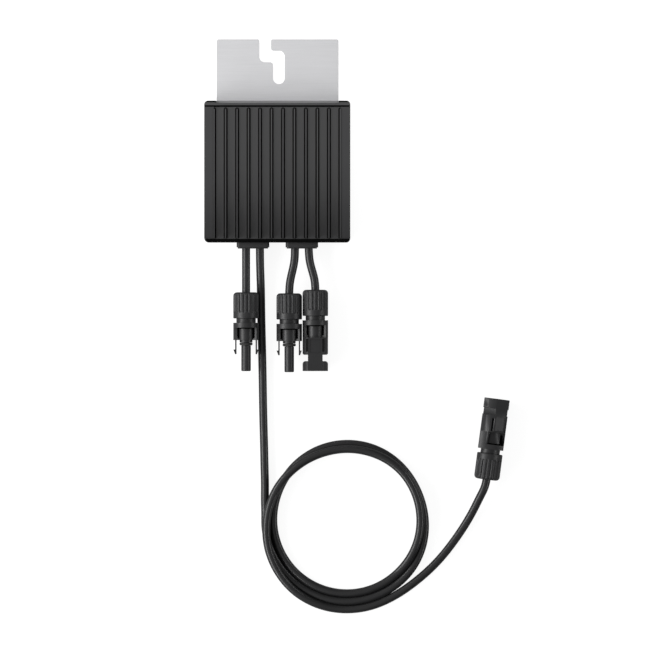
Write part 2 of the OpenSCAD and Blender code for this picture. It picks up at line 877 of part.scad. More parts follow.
// Cap nut: rounded shoulder, ribbed grip, smooth collar, and a bore for seal and thread
module cap_nut() {
    r = nut_d / 2;
    low = r - rib_depth;
    crest = r - screw_gap;
    root = low - rib_depth;
    step = 360 / nut_ribs;
    inside = neck_d / 2 + gap;
    rib = [
        [-rib_root_share, root], [-rib_crest_share, crest], [rib_crest_share, crest], [rib_root_share, root]
    ];
    grip = [
        for (k = [0 : nut_ribs - 1], side = rib)
            let (a = (k + side[0]) * step)
            side[1] * [cos(a), sin(a)]
    ];
    color([0.11, 0.11, 0.12])
    difference() {
        union() {
            rotate_extrude()
                polygon(concat(
                    [[0, 0]],
                    arc([low - nut_shoulder, nut_shoulder], nut_shoulder, -90, 0),
                    [[low, rib_to], [0, rib_to]]
                ));
            difference() {
                translate([0, 0, rib_from])
                    linear_extrude(rib_to - rib_from)
                        polygon(grip);
                shoulder_trim(r);
            }
            translate([0, 0, rib_to])
                cylinder(r = r, h = nut_l - rib_to);
        }
        translate([0, 0, -past])
            cylinder(r = bore_r, h = nut_lid + 2 * past);
        translate([0, 0, nut_lid])
            cylinder(r = inside, h = nut_l);
    }
}

// Takes the ribs' corners off along the nut's shoulder
module shoulder_trim(r) {
    rotate_extrude()
        polygon([
            [r - nut_shoulder, rib_from - past], [r + past, rib_from - past],
            [r + past, rib_from + nut_shoulder]
        ]);
}

// Rubber seal squeezed between the nut and the body's tail
module cable_seal() {
    color([0.07, 0.07, 0.07])
    rotate_extrude()
        polygon([
            [cable_r + screw_gap, nut_lid], [neck_d / 2, nut_lid], [neck_d / 2, seal_to - seal_bevel],
            [neck_d / 2 - seal_bevel, seal_to], [cable_r + screw_gap, seal_to]
        ]);
}

// Tail, neck, flange and barrel shared by both kinds of connector
module connector_back(barrel_end) {
    rotate_extrude()
        polygon([
            [0, tail_from], [neck_d / 2 - tail_bevel, tail_from], [neck_d / 2, tail_from + tail_bevel],
            [neck_d / 2, flange_from], [nut_d / 2, flange_from], [nut_d / 2, flange_to],
            [barrel_r, flange_to], [barrel_r, barrel_end], [0, barrel_end]
        ]);
    for (turn = [0, 180])
        rotate([0, 0, turn - side_wall_angle])
            rotate_extrude(angle = 2 * side_wall_angle)
                polygon([
                    [nut_d / 2 - side_wall_t, flange_to], [nut_d / 2, flange_to], [nut_d / 2, barrel_to],
                    [barrel_r - gap, barrel_to], [barrel_r - gap, barrel_to - side_web],
                    [nut_d / 2 - side_wall_t, barrel_to - side_web]
                ]);
}

// Bore for the cable's end, then a narrower one for the contact
module connector_bores(contact_end) {
    translate([0, 0, tail_from - past])
        cylinder(r = bore_r, h = cable_stop - tail_from + past);
    translate([0, 0, cable_stop - past])
        cylinder(r = contact_r + gap, h = contact_end - cable_stop + past);
}

// Latch finger on the +X side: a thin springy strip with a barb near its end
module latch_finger() {
    inside = finger_x - finger_t / 2;
    outside = finger_x + finger_t / 2;
    rotate([90, 0, 0])
        translate([0, 0, -finger_w / 2])
            linear_extrude(finger_w)
                polygon([
                    [inside, barrel_to - gap], [outside, barrel_to - gap], [outside, finger_end - barb_l],
                    [outside + barb_out, finger_end - barb_l], [outside, finger_end], [inside, finger_end]
                ]);
}

// Body with a probe, an O-ring groove and two latch fingers
module socket_body() {
    color([0.1, 0.1, 0.11])
    difference() {
        union() {
            connector_back(barrel_to);
            rotate_extrude()
                polygon([
                    [0, barrel_to - past], [collar_r, barrel_to - past], [collar_r, ring_groove_from],
                    [ring_groove_r, ring_groove_from], [ring_groove_r, ring_groove_to],
                    [probe_d / 2, ring_groove_to], [probe_d / 2, probe_end - probe_bevel],
                    [probe_d / 2 - probe_bevel, probe_end], [0, probe_end]
                ]);
            latch_finger();
            rotate([0, 0, 180])
                latch_finger();
        }
        connector_bores(probe_end + past);
    }
}

module socket_contact() {
    end = probe_end - contact_recess;
    color([0.78, 0.76, 0.7])
    rotate_extrude()
        polygon([
            [0, cable_stop], [contact_r, cable_stop], [contact_r, end], [socket_bore_r, end],
            [socket_bore_r, end - socket_bore_l], [0, end - socket_bore_l]
        ]);
}

module socket_o_ring() {
    section = (ring_groove_to - ring_groove_from) / 2 - gap;
    color([0.05, 0.05, 0.05])
    translate([0, 0, (ring_groove_from + ring_groove_to) / 2])
        rotate_extrude()
            translate([ring_groove_r + section + screw_gap, 0])
                circle(section);
}

// Body with a shell round the pin, latch windows in its sides and slots for the fingers
module pin_body() {
    room_t = finger_t + 2 * finger_room;
    room_w = finger_w + 2 * finger_room;
    color([0.1, 0.1, 0.11])
    difference() {
        union() {
            connector_back(barrel_to);
            translate([0, 0, barrel_to - gap])
                linear_extrude(shell_end - barrel_to + gap)
                    intersection() {
                        circle(shell_w / 2);
                        square([shell_w + past, shell_t], center = true);
                    }
        }
        connector_bores(shell_bore_from + past);
        translate([0, 0, shell_bore_from])
            cylinder(r = shell_bore_r, h = shell_end);
        for (turn = [0, 180])
            rotate([0, 0, turn]) {
                translate([shell_w / 2 - window_depth, -shell_w, window_from])
                    cube([shell_w, 2 * shell_w, window_l]);
                translate([finger_x - room_t / 2, -room_w / 2, window_from])
                    cube([room_t, room_w, shell_end]);
                rotate([0, 0, 90])
                    translate([shell_t / 2 - panel_depth, -panel_w / 2, barrel_to + panel_margin])
                        cube([shell_t, panel_w, window_from - barrel_to - 2 * panel_margin]);
            }
    }
}

module pin_contact() {
    color([0.78, 0.76, 0.7])
    rotate_extrude()
        polygon([
            [0, cable_stop], [contact_r, cable_stop], [contact_r, shell_bore_from],
            [pin_r, shell_bore_from + pin_root_l], [pin_r, pin_end - pin_tip_l],
            [pin_tip_r, pin_end], [0, pin_end]
        ]);
}

module output_socket_body() { facing_down(output_socket_at) socket_body(); }

module output_socket_nut() { facing_down(output_socket_at) cap_nut(); }

module output_socket_seal() { facing_down(output_socket_at) cable_seal(); }

module output_socket_contact() { facing_down(output_socket_at) socket_contact(); }

module output_socket_o_ring() { facing_down(output_socket_at) socket_o_ring(); }

module output_pin_body() { facing_up(output_pin_at) pin_body(); }

module output_pin_nut() { facing_up(output_pin_at) cap_nut(); }

module output_pin_seal() { facing_up(output_pin_at) cable_seal(); }

module output_pin_contact() { facing_up(output_pin_at) pin_contact(); }

module input_socket_body() { facing_down(input_socket_at) socket_body(); }

module input_socket_nut() { facing_down(input_socket_at) cap_nut(); }

module input_socket_seal() { facing_down(input_socket_at) cable_seal(); }

module input_socket_contact() { facing_down(input_socket_at) socket_contact(); }

module input_socket_o_ring() { facing_down(input_socket_at) socket_o_ring(); }

module input_pin_body() { facing_down(input_pin_at) pin_body(); }

module input_pin_nut() { facing_down(input_pin_at) cap_nut(); }

module input_pin_seal() { facing_down(input_pin_at) cable_seal(); }

module input_pin_contact() { facing_down(input_pin_at) pin_contact(); }

heat_sink_housing();
back_cover();
cover_gasket();
cover_screws();
mounting_bracket();
bracket_screws();
circuit_board();
board_screws();
power_transistors();
thermal_pad();
inductor_cores();
inductor_windings();
film_capacitors();
controller_chip();
lead_terminals();
output_gland();
input_gland();
output_grommet();
input_grommet();
output_short_cable();
output_long_cable_lead();
output_long_cable_coil();
output_long_cable_tail();
input_left_cable();
input_right_cable();
output_socket_body();
output_socket_nut();
output_socket_seal();
output_socket_contact();
output_socket_o_ring();
output_pin_body();
output_pin_nut();
output_pin_seal();
output_pin_contact();
input_socket_body();
input_socket_nut();
input_socket_seal();
input_socket_contact();
input_socket_o_ring();
input_pin_body();
input_pin_nut();
input_pin_seal();
input_pin_contact();
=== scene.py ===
"""Looks of a finned power optimizer: its black casting, bare bracket, glands, leads and connectors."""
import json
import math

import bmesh
import bpy
import numpy as np
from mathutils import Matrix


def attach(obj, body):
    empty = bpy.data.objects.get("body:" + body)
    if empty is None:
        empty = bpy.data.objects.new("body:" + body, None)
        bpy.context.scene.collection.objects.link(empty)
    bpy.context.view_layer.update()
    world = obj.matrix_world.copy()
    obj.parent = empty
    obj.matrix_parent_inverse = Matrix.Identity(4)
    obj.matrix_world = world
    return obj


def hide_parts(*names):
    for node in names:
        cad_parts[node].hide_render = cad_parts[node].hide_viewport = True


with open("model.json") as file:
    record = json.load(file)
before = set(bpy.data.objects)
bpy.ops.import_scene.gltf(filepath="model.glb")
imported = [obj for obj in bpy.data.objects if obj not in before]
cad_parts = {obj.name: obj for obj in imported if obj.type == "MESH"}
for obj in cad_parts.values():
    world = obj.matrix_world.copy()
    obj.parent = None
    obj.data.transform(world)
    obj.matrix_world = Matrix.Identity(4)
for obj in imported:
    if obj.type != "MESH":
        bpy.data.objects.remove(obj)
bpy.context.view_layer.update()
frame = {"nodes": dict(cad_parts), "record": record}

MM = 0.001
BODY = "root"

# Camera: straight down on the front, with the bracket at the top of the picture
VIEW_CENTRE = (36.3 * MM, -116.8 * MM)
VIEW_WIDTH = 495.6 * MM
VIEW_PLANE = 14 * MM
VIEW_REACH = 100
LENS = 300
SENSOR = 36

# Room: how bright its two sides are, the way to the bright one, and where one side turns into the other
ROOM_DARK = 0.03
ROOM_BRIGHT = 0.45
BRIGHT_SIDE = (-0.75, 0.0, 0.66)
DARK_UP_TO = -0.1
BRIGHT_FROM = 0.8

# Floor: half its width and its level in metres, its grey, and the white it adds in view and in reflections
FLOOR_HALF = 6.0
FLOOR_LEVEL = -0.0003
FLOOR_PAPER = 0.2
FLOOR_SEEN = 0.9
FLOOR_MIRRORED = 0.2

# Lamps: name, place, the point that each faces, its width and height in metres, and its watts
LIT_MIDDLE = (0.03, -0.12, 0)
LAMPS = [
    ("overhead_panel", (0.0, 0.0585, 0.1), (0.0, 0.0584, 0.0), (0.3, 0.171), 0.154),
    ("left_strip", (-0.72, -0.25, 0.5), LIT_MIDDLE, (1.6, 0.3), 11.3),
    ("right_strip", (0.85, -0.12, 0.4), LIT_MIDDLE, (1.2, 0.2), 3.0),
]

# Cables, in millimetres: thickness, height of the axes, and where they begin inside and leave the glands
CABLE_D = 6.2
CABLE_R = CABLE_D / 2
CABLE_Z = 9.75
CABLE_START = -33.7

# Casting, in millimetres: half its sizes, the fins' field, rims, lip and rounded cable end
HALF_W = 55.5
HALF_H = 53.8
FIN_FLOOR = 23.0
FIN_FIELD = 49.0
RIM_X = 48.0
RIM_TOP = 27.5
RIM_GROOVE = 1.0
LIP_Y = 50.2
LIP_FOOT = 1.1
LIP_FOOT_BELOW = 0.2
NOSE_R = 3.0

# Cap nut, in millimetres; stations run along the axis from its cable end
NUT_L = 20.0
NUT_R = 9.75
NUT_SHOULDER = 2.8
NUT_LID = 3.5
NUT_COLLAR_FROM = 15.4
NUT_FACE_R = 5.4
NUT_BORE_R = 3.25
NUT_INNER_R = 7.5
NUT_BREAK = 0.3
NUT_FILLET = 0.2
NUT_END_ROUND = 0.35
NUT_END_FROM = 19.2
NUT_END_TO = 20.1

# Ribs of the cap nut: lengths in millimetres, and halves of widths as shares of the pitch
NUT_RIBS = 20
RIB_DEPTH = 0.75
RIB_TOP_HALF = 0.17
RIB_FOOT_HALF = 0.3
FLUTE_FROM = 0.3
FLUTE_FULL = 2.6
FLUTE_END_HALF = 0.36
FLUTE_END_L = 2.2
FLUTE_RISE_BEFORE = 0.7
FLUTE_RISE_AFTER = 0.5

# Connector bodies, in millimetres, with stations as on the cap nut
BARREL_R = 6.1
BARREL_FROM = 27.0
BARREL_TO = 36.5
SIDE_WALL_R = 8.05
END_WEB = 1.7
MID_WEB = 2.0
PANEL_FROM = 37.3
PANEL_TO = 47.2
PANEL_SIDE = 6.2
GROOVE_W = 1.8
GROOVE_FLOOR = 4.8
UNDERCUT_R = 4.6
UNDERCUT_W = 0.9
SHELL_R = 9.7
WINDOW_FROM = 49.6
WINDOW_TO = 54.5
WINDOW_NEAR_R = 1.4
WINDOW_FAR_R = 2.2

# Where each connector's nut begins; the free one points up and lies rolled over
OUTPUT_SOCKET_AT = (-23.95, -91.8, CABLE_Z)
INPUT_SOCKET_AT = (9, -92.6, CABLE_Z)
INPUT_PIN_AT = (28.9, -89.9, CABLE_Z)
OUTPUT_PIN_AT = (159.6, -234.7, CABLE_Z)
OUTPUT_PIN_TURN = -7.5
OUTPUT_PIN_ROLL = 35

# Screws: diameter and length, then the place and direction of each head
COVER_SCREW = (3.0, 12.0)
COVER_HEADS = [((x, y, 0), (0, 0, 1)) for x in (-49.0, 49.0) for y in (-47.3, 44.3)]
BRACKET_SCREW = (4.0, 10.0)
BRACKET_HEADS = [((x, HALF_H, 12.5), (0, -1, 0)) for x in (-30, 30)]

# Narrow rounds on edges, in millimetres, and the turns in degrees that make an edge sharp or flat
CASTING_ROUND = 0.12
COVER_ROUND = 0.3
BRACKET_ROUND = 0.22
GLAND_ROUND = 0.45
CONNECTOR_ROUND = 0.3
SHARP_EDGE = 35
FLAT_EDGE = 0.5

# How near two points are merged, in metres: those of the solids, and those at a screw's poles
WELD = 2e-6
POLE_WELD = 1e-7

# How much of a face's normal makes it level, steep, or one that looks towards an end
LEVEL = 0.9
STEEP = 0.5
END_ON = 0.15

# In millimetres: how far cutters go past what they cut, how far pieces run into each other, and how far off a
# level or a range a face may be
CUT_PAST = 1.0
WINDOW_PAST = 0.5
OVERLAP = 0.05
SINK = 0.1
NEAR = 0.1
TOUCH = 0.01

# Heights of raised grain and of brushed lines, in metres, and how strongly lines show
GRAIN_HEIGHT = 0.0001
LINE_HEIGHT = 0.00005
BRUSHED_DEPTH = 0.12
SHEATH_DEPTH = 0.08

# Routes of the four leads, in millimetres: those of the part's own cables
OUTPUT_SHORT = [(-23.95, y, CABLE_Z) for y in (CABLE_START, -60, -85, -107.75)]
OUTPUT_LEAD = [
    (-13.35, CABLE_START, CABLE_Z), (-13.35, -60, CABLE_Z), (-13.3, -66, 9.4), (-13.1, -76, 7.4),
    (-12.8, -86, 4.9), (-12.6, -96, 3.5), (-12.4, -110, CABLE_R), (-12, -128, CABLE_R),
    (-11.6, -145, CABLE_R), (-11.3, -162, CABLE_R), (-11, -180, CABLE_R), (-10.6, -197, CABLE_R),
    (-10.2, -212, CABLE_R), (-9.9, -226, CABLE_R), (-9.6, -240, CABLE_R), (-9.6, -252, CABLE_R),
]
OUTPUT_TAIL = [
    (93.3, -321.5, CABLE_R), (107.8, -311, CABLE_R), (122.3, -297.5, CABLE_R), (134.3, -282.8, CABLE_R),
    (143.3, -269.5, 3.9), (150.3, -257, 6), (155.2, -247, 8.4), (158, -241, 9.5),
    (159.6, -234.7, CABLE_Z), (161.68, -218.89, CABLE_Z),
]
INPUT_LEFT = [
    (13.35, CABLE_START, CABLE_Z), (13.35, -60, CABLE_Z), (12.9, -68, CABLE_Z), (11.2, -76.5, CABLE_Z),
    (9.5, -85, CABLE_Z), (9, -92.6, CABLE_Z), (9, -108.55, CABLE_Z),
]
INPUT_RIGHT = [
    (23.95, CABLE_START, CABLE_Z), (23.95, -60, CABLE_Z), (24.6, -67.5, CABLE_Z), (26.4, -75, CABLE_Z),
    (28.3, -82.5, CABLE_Z), (28.9, -89.9, CABLE_Z), (28.9, -105.85, CABLE_Z),
]

# The long lead's loop: its centre, the first turn on the floor as (angle, radius), whose end runs inside, and
# the second as (angle, radius, height). That one leans on the first, crosses the lead and lies down outside.
LOOP_AT = (52.5, -267)
FIRST_TURN = [
    (175, 62.1), (183, 61.85), (192, 61.6), (216, 61.15), (248, 60.95), (280, 61.1), (312, 61.6),
    (330, 61.55), (360, 60.15), (378, 59.3), (420, 59.5), (450, 59.3), (480, 58.45), (500, 57.5),
    (520, 56.4), (540, 55.75), (564, 55.2), (592, 54.85), (624, 54.85), (656, 55.2),
]
SECOND_TURN = [
    (676, 55.55, 3.3), (690, 55.95, 5.6), (705, 56.4, 7.55), (720, 56.65, 8.3), (740, 56.95, 8.95),
    (765, 57.0, 8.9), (795, 55.85, 8.25), (810, 55.5, 8.1), (825, 55.4, 8.25), (840, 55.85, 8.8),
    (860, 57.2, 9.35), (880, 59.05, 9.3), (900, 60.75, 9.35), (920, 62.9, 9.3), (936, 64.45, 8.55),
    (952, 65.9, 7.25), (968, 66.7, 5.6), (976, 66.95, 4.5), (986, 67.1, 3.3), (1000, 67.22, CABLE_R),
    (1016, 67.42, CABLE_R),
]
LOOP_STEP = 8


def natural_spline(knots, points, at):
    """Cubic curve through points: second derivatives solve the continuity equations, zero at the ends."""
    gap = np.diff(knots)
    slope = np.diff(points, axis=0) / gap[:, None]
    n = len(knots)
    system = np.eye(n)
    inner = np.arange(1, n - 1)
    system[inner, inner - 1] = gap[:-1]
    system[inner, inner] = 2 * (gap[:-1] + gap[1:])
    system[inner, inner + 1] = gap[1:]
    wanted = np.zeros((n, points.shape[1]))
    wanted[1:-1] = 6 * np.diff(slope, axis=0)
    bend = np.linalg.solve(system, wanted)
    i = np.clip(np.searchsorted(knots, at, side="right") - 1, 0, n - 2)
    h = gap[i][:, None]
    a = (knots[i + 1] - at)[:, None]
    b = (at - knots[i])[:, None]
    return (
        (bend[i] * a**3 + bend[i + 1] * b**3) / (6 * h)
        + (points[i] / h - bend[i] * h / 6) * a
        + (points[i + 1] / h - bend[i + 1] * h / 6) * b
    )


def distances(points):
    """Distance along a path from its start to each of its points."""
    steps = np.linalg.norm(np.diff(points, axis=0), axis=1)
    return np.concatenate([[0], np.cumsum(steps)])


def smooth_path(points, step=1.2, fine_steps=40):
    """Even steps along a cubic curve through given points, kept from dipping below the floor."""
    points = np.asarray(points, float)
    knots = distances(points)
    fine = natural_spline(knots, points, np.linspace(0, knots[-1], fine_steps * len(points)))
    fine[:, 2] = np.maximum(fine[:, 2], CABLE_R)
    run = distances(fine)
    even = np.linspace(0, run[-1], int(run[-1] / step) + 2)
    return np.stack([np.interp(even, run, fine[:, k]) for k in range(3)], axis=1) * MM


def loop_points():
    """Points of the two turns, every few degrees: radius and height are smooth functions of the angle."""
    stations = np.array([(angle, r, CABLE_R) for angle, r in FIRST_TURN] + SECOND_TURN, float)
    angles = np.arange(stations[0, 0], stations[-1, 0] + 1, LOOP_STEP)
    radius, height = natural_spline(stations[:, 0], stations[:, 1:], angles).T
    turn = np.radians(angles)
    x, y = LOOP_AT
    return np.stack([x + radius * np.cos(turn), y + radius * np.sin(turn), height], axis=1)


def smooth_step(value, low, high):
    """0 below low, 1 above high, and a cubic S between."""
    t = np.clip((value - low) / (high - low), 0, 1)
    return t * t * (3 - 2 * t)


def grid_faces(rows, columns, closed=False):
    """Quads of a grid of rows by columns: each row closes on itself, and the last may join the first."""
    r, c = np.meshgrid(np.arange(rows if closed else rows - 1), np.arange(columns), indexing="ij")
    below = (r + 1) % rows
    after = (c + 1) % columns
    corners = [(r, c), (r, after), (below, after), (below, c)]
    return np.stack([row * columns + column for row, column in corners], axis=-1).reshape(-1, 4)


def link_new(name, data):
    """New object with the given data, linked to the scene."""
    made = bpy.data.objects.new(name, data)
    bpy.context.scene.collection.objects.link(made)
    return made


def new_piece(name, points, faces, uv=None, smooth=True):
    """Mesh object from arrays of points and faces, with an optional UV for each face corner."""
    mesh = bpy.data.meshes.new(name)
    mesh.from_pydata(np.asarray(points).tolist(), [], [list(map(int, f)) for f in faces])
    mesh.polygons.foreach_set("use_smooth", np.full(len(mesh.polygons), smooth))
    if uv is not None:
        layer = mesh.uv_layers.new(name="along")
        layer.data.foreach_set("uv", np.asarray(uv, np.float32).ravel())
    mesh.update()
    return link_new(name, mesh)


def sheath(name, path, sides=28):
    """Round sheath: a circle carried along the path, square to it, with length and turn as UV."""
    ahead = np.gradient(path, axis=0)
    ahead /= np.linalg.norm(ahead, axis=1)[:, None]
    across = np.cross(ahead, [0, 0, 1.0])
    across /= np.linalg.norm(across, axis=1)[:, None]
    up = np.cross(ahead, across)
    turn = 2 * np.pi * np.arange(sides) / sides
    ring = np.cos(turn)[None, :, None] * across[:, None] + np.sin(turn)[None, :, None] * up[:, None]
    points = (path[:, None] + CABLE_R * MM * ring).reshape(-1, 3)
    faces = grid_faces(len(path), sides)
    run = distances(path) / MM
    row, column = faces[:, 0] // sides, faces[:, 0] % sides
    u = np.stack([run[row], run[row], run[row + 1], run[row + 1]], axis=1)
    v = np.stack([column, column + 1, column + 1, column], axis=1) / sides
    ends = [list(range(sides))[::-1], [(len(path) - 1) * sides + k for k in range(sides)]]
    end_uv = np.zeros((2 * sides, 2))
    uv = np.concatenate([np.stack([u, v], axis=-1).reshape(-1, 2), end_uv])
    return new_piece(name, points, [*faces.tolist(), *ends], uv)


def facing_down(points, at):
    """Lays a connector drawn along +Z along -Y from the given place, and scales it to metres."""
    x, y, s = np.moveaxis(points, -1, 0)
    return (np.stack([x, -s, y], axis=-1) + at) * MM


def facing_up(points, at):
    """The same for the free end: rolled about its axis, laid along +Y and turned a little in plan."""
    x, y, s = np.moveaxis(points, -1, 0)
    roll, turn = math.radians(OUTPUT_PIN_ROLL), math.radians(OUTPUT_PIN_TURN)
    across = x * math.cos(roll) - y * math.sin(roll)
    deep = x * math.sin(roll) + y * math.cos(roll)
    plan_x = across * math.cos(turn) - s * math.sin(turn)
    plan_y = across * math.sin(turn) + s * math.cos(turn)
    return (np.stack([plan_x, plan_y, -deep], axis=-1) + at) * MM


def revolved(radius, station):
    """Points of rows round the Z axis: a radius for each row and column, at the row's station."""
    columns = radius.shape[1]
    turn = 2 * np.pi * np.arange(columns) / columns
    height = np.repeat(station, columns, axis=1)
    return np.stack([radius * np.cos(turn), radius * np.sin(turn), height], axis=-1)


def closed_ring(name, radius, station, place, at):
    """Closed ring of rows round a connector's axis, the last row joined to the first."""
    points = place(revolved(radius, station), at).reshape(-1, 3)
    return new_piece(name, points, grid_faces(*radius.shape, closed=True))


def cap_nut(name, place, at, columns_per_rib=12):
    """Ribbed cap nut as one closed grid of stations by angles.

    Outside, radius = flute floor + (envelope - floor) * rise. The envelope has a rounded shoulder. The rise
    is the greater of flat-topped ribs round the nut and a climb to 1, along a scalloped line, where the
    smooth collar begins.
    Inside, the rows go back along the thread bore, the lid and the cable's hole, which closes the shape.
    The stations lie closer together on the shoulder, where the flutes end and at the open end.
    """
    columns = NUT_RIBS * columns_per_rib
    share = np.abs((np.arange(columns) / columns_per_rib + 0.5) % 1 - 0.5)
    s = np.concatenate([
        NUT_SHOULDER * (1 - np.cos(np.linspace(0.12, np.pi / 2, 9))), np.linspace(3.4, 12.2, 7),
        np.linspace(12.6, 16.2, 13), [17.4, 18.8, 19.3, 19.7, 19.9],
    ])[:, None]
    shoulder = np.clip(s, 0, NUT_SHOULDER)
    rounding = NUT_SHOULDER - np.sqrt(NUT_SHOULDER**2 - (NUT_SHOULDER - shoulder) ** 2)
    end_round = NUT_END_ROUND * smooth_step(s, NUT_END_FROM, NUT_END_TO) ** 2
    envelope = NUT_R - rounding - end_round
    floor = envelope - RIB_DEPTH * smooth_step(s, FLUTE_FROM, FLUTE_FULL)
    scallop = np.sqrt(np.clip(1 - ((0.5 - share) / FLUTE_END_HALF) ** 2, 0, 1))
    flute_end = NUT_COLLAR_FROM - FLUTE_END_L * (1 - scallop)
    ribs = 1 - smooth_step(share, RIB_TOP_HALF, RIB_FOOT_HALF)[None, :]
    collar = smooth_step(s, flute_end - FLUTE_RISE_BEFORE, flute_end + FLUTE_RISE_AFTER)
    outer = floor + (envelope - floor) * np.maximum(ribs, collar)
    inner = np.array([
        (NUT_R - 2 * NUT_BREAK, NUT_L), (NUT_INNER_R + NUT_BREAK, NUT_L), (NUT_INNER_R, NUT_L - NUT_BREAK),
        (NUT_INNER_R, NUT_LID + NUT_FILLET), (NUT_INNER_R - NUT_FILLET, NUT_LID), (NUT_BORE_R, NUT_LID),
        (NUT_BORE_R, NUT_BREAK), (NUT_BORE_R + NUT_BREAK, 0), (NUT_FACE_R, 0),
    ])
    radius = np.concatenate([outer, np.repeat(inner[:, :1], columns, axis=1)])
    return closed_ring(name, radius, np.concatenate([s, inner[:, 1:]]), place, at)


def socket_screws(name, heads, d, length, columns=48):
    """Countersunk screws with a six-sided socket, one closed grid each.

    Rows are (radius, station). The socket's floor and wall follow a hexagon, apothem / cos(angle from the
    nearest flat's middle), and the head's face, cone, shank and tip are round. The two poles are merged.
    """
    turn = 2 * np.pi * np.arange(columns) / columns
    hexagon = 1 / np.cos((turn + np.pi / 6) % (np.pi / 3) - np.pi / 6)
    key = 0.5 * d
    socket = [
        (0, 0.75 * d), (key * 0.55, 0.62 * d), (key - 0.05, 0.55 * d), (key, 0.5 * d), (key, 0.1),
        (key + 0.1, 0.0),
    ]
    outside = [
        (d - 0.3, 0.0), (d - 0.06, 0.06), (d, 0.25), (d / 2 + 0.1, d / 2 + 0.1), (d / 2, d / 2 + 0.4),
        (d / 2, length - 0.6), (d / 2 - 0.5, length), (0, length),
    ]
    rows = np.array(socket + outside)
    radius = np.repeat(rows[:, :1], columns, axis=1)
    radius[:len(socket)] *= hexagon
    local = revolved(radius, rows[:, 1:])
    across = np.array([1.0, 0, 0])
    points, faces = [], []
    for k, (at, way) in enumerate(heads):
        ahead = np.array(way, float)
        placed = local @ np.stack([across, np.cross(ahead, across), ahead])
        points.append((placed + at).reshape(-1, 3) * MM)
        faces.append(grid_faces(*radius.shape) + k * radius.size)
    piece = new_piece(name, np.concatenate(points), np.concatenate(faces))
    face_outwards(piece.data, POLE_WELD)
    return piece


def boxes(name, corners, place, at):
    """Closed boxes, each between a low and a high corner, put in place as one flat-sided piece."""
    sides = np.array([(0, 1, 3, 2), (4, 6, 7, 5), (0, 4, 5, 1), (2, 3, 7, 6), (0, 2, 6, 4), (1, 5, 7, 3)])
    pick = np.array([(x, y, z) for x in (0, 1) for y in (0, 1) for z in (0, 1)])
    points = np.concatenate([np.where(pick, high, low) for low, high in np.asarray(corners, float)])
    faces = np.concatenate([sides + len(pick) * k for k in range(len(corners))])
    return new_piece(name, place(points, at), faces, smooth=False)


def bar_across(name, profile, half):
    """Flat-sided bar: a closed (Y, Z) profile, counted anticlockwise, carried along X to both sides."""
    n = len(profile)
    points = np.array([(x, y, z) for x in (-half, half) for y, z in profile]) * MM
    ends = [list(range(n))[::-1], list(range(n, 2 * n))]
    return new_piece(name, points, [*grid_faces(2, n).tolist(), *ends], smooth=False)


def face_outwards(mesh, weld=0.0):
    """Turns all faces of closed shapes outwards, after merging points that are nearer than weld."""
    shape = bmesh.new()
    shape.from_mesh(mesh)
    if weld:
        bmesh.ops.remove_doubles(shape, verts=shape.verts, dist=weld)
    bmesh.ops.recalc_face_normals(shape, faces=shape.faces)
    shape.to_mesh(mesh)
    shape.free()


def carved(mesh, cutters):
    """The mesh less the cutters' closed shapes; the cutters are used up."""
    block = link_new("carved", mesh)
    for cutter in cutters:
        face_outwards(cutter.data)
        cut = block.modifiers.new("carve", "BOOLEAN")
        cut.object = cutter
        cut.solver = "EXACT"
    bpy.context.view_layer.update()
    result = bpy.data.meshes.new_from_object(block.evaluated_get(bpy.context.evaluated_depsgraph_get()))
    for used in (block, *cutters):
        bpy.data.objects.remove(used)
    return result


def softened(node, name, width, segments=2, cutters=()):
    """Copy of a node, less any cutters, with flat faces joined and a narrow round on outer sharp edges."""
    shape = bmesh.new()
    shape.from_mesh(frame["nodes"][node].data)
    bmesh.ops.remove_doubles(shape, verts=shape.verts, dist=WELD)
    for layer in list(shape.loops.layers.float_vector.values()):
        shape.loops.layers.float_vector.remove(layer)
    mesh = bpy.data.meshes.new(name)
    shape.to_mesh(mesh)
    if cutters:
        mesh = carved(mesh, cutters)
        shape.clear()
        shape.from_mesh(mesh)
    flat = math.radians(FLAT_EDGE)
    bmesh.ops.dissolve_limit(shape, angle_limit=flat, verts=shape.verts, edges=shape.edges)
    rounded = shape.edges.layers.float.new("bevel_weight_edge")
    for edge in shape.edges:
        if len(edge.link_faces) == 2:
            turn = math.degrees(edge.calc_face_angle_signed(0))
            edge[rounded] = float(turn > SHARP_EDGE)
            edge.smooth = turn > -SHARP_EDGE
    shape.to_mesh(mesh)
    shape.free()
    if "custom_normal" in mesh.attributes:
        mesh.attributes.remove(mesh.attributes["custom_normal"])
    mesh.polygons.foreach_set("use_smooth", np.ones(len(mesh.polygons), bool))
    piece = link_new(name, mesh)
    bevel = piece.modifiers.new("round_edges", "BEVEL")
    bevel.width = width * MM
    bevel.segments = segments
    bevel.limit_method = "WEIGHT"
    bevel.harden_normals = True
    return piece


def add(tree, kind, inputs=(), **settings):
    """Adds a shader node: an input given as a socket is linked, any other is set as its value."""
    made = tree.nodes.new("ShaderNode" + kind)
    for name, value in settings.items():
        setattr(made, name, value)
    for name, value in dict(inputs).items():
        if isinstance(value, bpy.types.NodeSocket):
            tree.links.new(value, made.inputs[name])
        else:
            made.inputs[name].default_value = value
    return made


def effect(name, inputs, outputs):
    """Starts a shader node group with named number inputs and outputs."""
    group = bpy.data.node_groups.new(name, "ShaderNodeTree")
    for label, value in inputs.items():
        group.interface.new_socket(label, in_out="INPUT", socket_type="NodeSocketFloat").default_value = value
    for label in outputs:
        group.interface.new_socket(label, in_out="OUTPUT", socket_type="NodeSocketFloat")
    return group, group.nodes.new("NodeGroupInput").outputs, group.nodes.new("NodeGroupOutput").inputs


